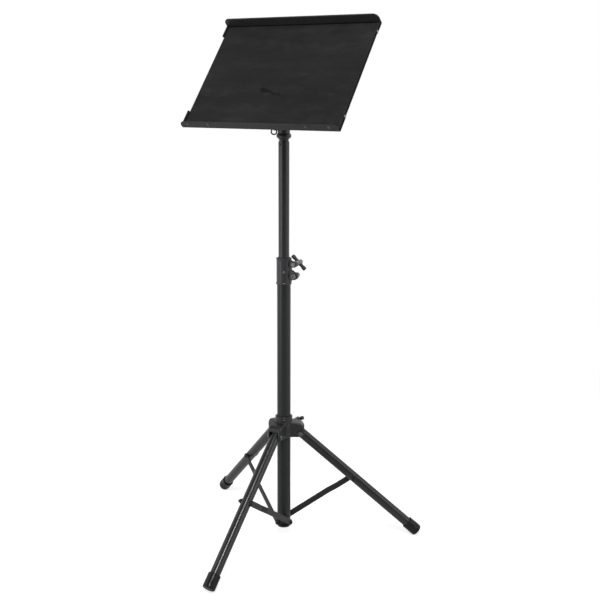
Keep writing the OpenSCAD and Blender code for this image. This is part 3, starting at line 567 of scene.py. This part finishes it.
for leg in legs:
    # along the leg, from its pivot down to its foot
    place = (Matrix.Rotation(math.radians(legTurn[leg]), 4, "Z")
             @ Matrix.Translation((legShape["reach"] * mm, 0, pivotLevel))
             @ Matrix.Rotation(math.pi - spread, 4, "Y"))
    body = leg + "_leg_arm"
    mouth = legShape["length"] - legShape["foot"] + footBead["high"]
    section = oval(legShape["footRadius"] - footBead["inset"], mouth, footBead["wide"], footBead["high"],
                   footBead["angles"])
    addPiece(leg + "FootBead", turned("footBead", place, section, True), body, "rubber")
    ribs = [treadRib(place, k) for k in range(footRib["count"])]
    addPiece(leg + "FootRibs", joinMeshes("footRibs", ribs), body, "rubber")
    near = -legShape["radius"] - washer["gap"]
    far = near - washer["thick"]
    stops = [(washer["bore"], near), (washer["radius"], near),
             (washer["radius"] + washer["bulge"], (near + far) / 2.0), (washer["radius"], far),
             (washer["bore"], far)]
    across = (place @ Matrix.Translation((0, 0, legShape["strutAt"] * mm))
              @ Matrix.Rotation(-math.pi / 2.0, 4, "X"))
    addPiece(leg + "StrutWasher", turned("washer", across, stops, True), body, "black_nylon")
print("stage 3: small pieces on the mast and the legs")


# the desk's own frame: its origin is on the tilt bolt, x across, y back and z up the panel
deskLean = 40.5
deskPlace = Matrix.Translation(tiltAt) @ Matrix.Rotation(math.radians(-deskLean), 4, "X")


def deskLine(start, end, parts):
    return [deskPlace @ Vector([(a + (b - a) * k / parts) * mm for a, b in zip(start, end)])
            for k in range(parts + 1)]


# the cut edges of the panel's side flanges, pale as bare metal where the coat has rubbed off and lighter still as
# a painted highlight
flange = {"half": 182.5, "back": -30.0, "low": -117.0, "high": 154.0, "radius": 0.75, "uneven": 0.12,
          "pace": 1.7, "parts": 40}
edgePlate = uncoated("rubbedAndLitEdge", bareAndLitEdge)
radii = [flange["radius"] + flange["uneven"] * math.sin(k * flange["pace"])
         for k in range(flange["parts"] + 1)]
for side, sign in sides:
    across = sign * (flange["half"] - flange["radius"])
    line = deskLine((across, flange["back"], flange["low"]), (across, flange["back"], flange["high"]),
                    flange["parts"])
    addPiece("flangeEdge" + side, swept("flangeEdge", line, radii), "desk", "desk_paint", edgePlate)

# weld beads where the bracket's ears meet its plate
weld = {"ear": 8.4, "plate": -33.9, "low": -14.0, "high": 22.0, "radius": 1.1, "taper": 0.45,
        "ripple": 0.22, "parts": 30}
radii = [weld["radius"] * (1.0 + weld["ripple"] * (k % 2)) for k in range(weld["parts"] + 1)]
radii[0] = radii[-1] = weld["radius"] * weld["taper"]
for side, sign in sides:
    across = sign * weld["ear"]
    line = deskLine((across, weld["plate"], weld["low"]), (across, weld["plate"], weld["high"]),
                    weld["parts"])
    addPiece("bracketWeld" + side, swept("bracketWeld", line, radii), "desk", "casting_paint")

# painted shade: near-black matt skins over the desk's outer side faces, as far back as each says
shadeMatt = uncoated("shadeBlack", shadeBlack)
shadeSkins = [
    {"name": "railSideShade", "node": "top_rail", "thick": 0.35, "back": -32.0},
    {"name": "ledgeSideShade", "node": "ledge", "thick": 0.35, "back": -32.0},
    {"name": "panelSideShade", "node": "desk_panel", "thick": 0.20, "back": -31.3},
]
sideFace = {"facing": 0.99, "depth": 0.5, "merge": 0.001}


# bmesh operators leave faces in an order that changes from run to run, so this mesh gets a fixed one
def orderedMesh(name, shape):
    shape.verts.sort(key=lambda vert: vert.co.dot(skew))
    shape.verts.index_update()
    faces = []
    for face in shape.faces:
        corners = [vert.index for vert in face.verts]
        first = corners.index(min(corners))
        faces.append(corners[first:] + corners[:first])
    mesh = bpy.data.meshes.new(name)
    mesh.from_pydata([tuple(vert.co) for vert in shape.verts], [], sorted(faces))
    shape.free()
    return mesh


# a node's side faces, cut off at the back and given a thickness
def sideShadeSkin(name, skin, sign):
    shape = bmesh.new()
    shape.from_mesh(frame["nodes"][skin["node"]].data)
    bmesh.ops.remove_doubles(shape, verts=shape.verts, dist=sideFace["merge"] * mm)
    edge = max(sign * vert.co.x for vert in shape.verts)
    rest = [face for face in shape.faces
            if face.normal.x * sign < sideFace["facing"]
            or edge - sign * face.calc_center_median().x > sideFace["depth"] * mm]
    bmesh.ops.delete(shape, geom=rest, context="FACES")
    bmesh.ops.bisect_plane(shape, geom=shape.verts[:] + shape.edges[:] + shape.faces[:], clear_outer=True,
                           plane_co=deskPlace @ Vector((0.0, skin["back"] * mm, 0.0)),
                           plane_no=deskPlace.to_3x3() @ Vector((0.0, 1.0, 0.0)))
    grown = bmesh.ops.extrude_face_region(shape, geom=shape.faces[:], use_keep_orig=True)["geom"]
    bmesh.ops.translate(shape, vec=(sign * skin["thick"] * mm, 0.0, 0.0),
                        verts=[item for item in grown if isinstance(item, bmesh.types.BMVert)])
    bmesh.ops.recalc_face_normals(shape, faces=shape.faces)
    return orderedMesh(name, shape)


for skin in shadeSkins:
    for side, sign in sides:
        addPiece(skin["name"] + side, sideShadeSkin(skin["name"], skin, sign), "desk", "black_nylon", shadeMatt)

# painted shade: a matt black bead standing in for the shadowed gap between the upper lip and the panel
railGap = {"half": 181.0, "out": -38.3, "high": 154.5, "radius": 1.15, "parts": 24}
line = deskLine((-railGap["half"], railGap["out"], railGap["high"]),
                (railGap["half"], railGap["out"], railGap["high"]), railGap["parts"])
addPiece("railGapShade", swept("railGapShade", line, [railGap["radius"]] * len(line)), "desk", "black_nylon", shadeMatt)
print("stage 4: small pieces on the desk")


# the studio is bright all round except towards its dark end, so that the coats mirror both
# dim and bright are the light of the two, and zenith is what is left of it overhead
# the floor shows shadow up to nearEdge and is white from farEdge on; lift brightens it near the stand, and
# sheen is how much of that lift a mirroring coat sees
room = {"half": 9.0, "floorShade": 0.62, "nearEdge": 0.9, "farEdge": 1.7, "lift": 0.67, "sheen": 0.3,
        "darkEnd": (0.559, -0.829, 0.0), "darkCone": 0.95, "brightCone": 0.62, "dim": 0.07, "bright": 0.90,
        "zenith": 0.22, "highFrom": 0.85, "lowFrom": 0.35}
paper = grey(1.0)


# 1 towards the backdrop and the sides, 0 towards the dark end of the studio
def brightSide(sheet, direction):
    towards = sheet.vector("DOT_PRODUCT", sheet.vector("NORMALIZE", direction), room["darkEnd"], "Value")
    return sheet.ease(towards, room["darkCone"], room["brightCone"])


def rayKind(sheet, kind):
    return sheet.node("ShaderNodeLightPath", {}, {}, kind)


def mixed(sheet, share, first, second):
    return sheet.node("ShaderNodeMixShader", {}, {0: share, 1: first, 2: second})


half = room["half"]
floorMesh = bpy.data.meshes.new("floor")
floorMesh.from_pydata([(-half, -half, 0), (half, -half, 0), (half, half, 0), (-half, half, 0)], [],
                      [(0, 1, 2, 3)])
floor = bpy.data.objects.new("floor", floorMesh)
bpy.context.scene.collection.objects.link(floor)

# near the stand the floor shows its shadow, and further off it is plain white
floorFinish, sheet = newFinish("paperFloor")
away = sheet.vector("LENGTH", sheet.place(), out="Value")
far = sheet.ease(away, room["nearEdge"], room["farEdge"])
direct = rayKind(sheet, "Is Camera Ray")
glossy = rayKind(sheet, "Is Glossy Ray") + rayKind(sheet, "Is Transmission Ray")
mirrored = glossy * brightSide(sheet, sheet.place())
unlit, lifted, white = [sheet.node("ShaderNodeEmission", {}, {"Color": paper, "Strength": level})
                        for level in (0.0, room["lift"], 1.0)]
matte = sheet.node("ShaderNodeBsdfDiffuse", {}, {"Color": grey(room["floorShade"])})
glow = mixed(sheet, direct + mirrored * room["sheen"], unlit, lifted)
near = sheet.node("ShaderNodeAddShader", {}, {0: matte, 1: glow})
sheet.surface(mixed(sheet, far * (direct + mirrored), near, white))
floorMesh.materials.append(floorFinish)

world = bpy.data.worlds.new("studio")
bpy.context.scene.world = world
sky = Sheet(world)
heading = sky.node("ShaderNodeTexCoord", {}, {}, "Generated")
flat = sky.vector("MULTIPLY", heading, (1.0, 1.0, 0.0))
height = sky.node("ShaderNodeSeparateXYZ", {}, {0: heading}, "Z")
low = sky.ease(height, room["highFrom"], room["lowFrom"], room["zenith"])
strength = room["dim"] + (room["bright"] - room["dim"]) * brightSide(sky, flat) * low
direct = rayKind(sky, "Is Camera Ray")
night, day = [sky.node("ShaderNodeBackground", {}, {"Color": paper, "Strength": power})
              for power in (0.0, 1.0)]
sky.surface(mixed(sky, direct + (1.0 - direct) * strength, night, day), "ShaderNodeOutputWorld")

lens = {"place": (1.0375, -1.7922, 1.0034), "heading": 29.094, "dip": 12.290, "roll": 0.205,
        "focal": 58.283, "sensor": 36.0, "nearest": 0.05, "furthest": 60.0}
camera = bpy.data.objects.new("camera", bpy.data.cameras.new("camera"))
bpy.context.scene.collection.objects.link(camera)
bpy.context.scene.camera = camera
camera.data.lens = lens["focal"]
camera.data.sensor_width = lens["sensor"]
camera.data.clip_start = lens["nearest"]
camera.data.clip_end = lens["furthest"]
camera.location = lens["place"]
turn = (Matrix.Rotation(math.radians(lens["heading"]), 3, "Z")
        @ Matrix.Rotation(math.radians(90.0 - lens["dip"]), 3, "X")
        @ Matrix.Rotation(math.radians(lens["roll"]), 3, "Z"))
camera.rotation_euler = turn.to_euler()

lamps = [
    {"name": "frontSoftbox", "power": 24.0, "size": (1.4, 1.4),
     "place": (1.3, -2.2, 2.6), "aim": (0, 0, 0.6)},
    {"name": "topStrip", "power": 30.0, "size": (0.30, 0.9),
     "place": (1.10, -1.55, 2.85), "aim": (0, -0.15, 0.15)},
    {"name": "lowStrip", "power": 4.0, "size": (0.35, 0.9),
     "place": (-0.95, -1.85, 0.45), "aim": (0, 0, 0.8)},
    {"name": "leftStrip", "power": 9.0, "size": (0.5, 1.8),
     "place": (-1.9, -1.5, 1.5), "aim": (0, 0, 0.6)},
    {"name": "rightStrip", "power": 5.5, "size": (0.5, 1.8),
     "place": (2.3, 0.4, 1.4), "aim": (0, 0, 0.6)},
]
for lamp in lamps:
    data = bpy.data.lights.new(lamp["name"], "AREA")
    data.shape = "RECTANGLE"
    data.size, data.size_y = lamp["size"]
    data.energy = lamp["power"]
    light = bpy.data.objects.new(lamp["name"], data)
    bpy.context.scene.collection.objects.link(light)
    light.location = lamp["place"]
    aim = Vector(lamp["aim"]) - Vector(lamp["place"])
    light.rotation_euler = aim.to_track_quat("-Z", "Y").to_euler()

bpy.context.scene.view_settings.view_transform = "Standard"
print("stage 5: room, camera and light")
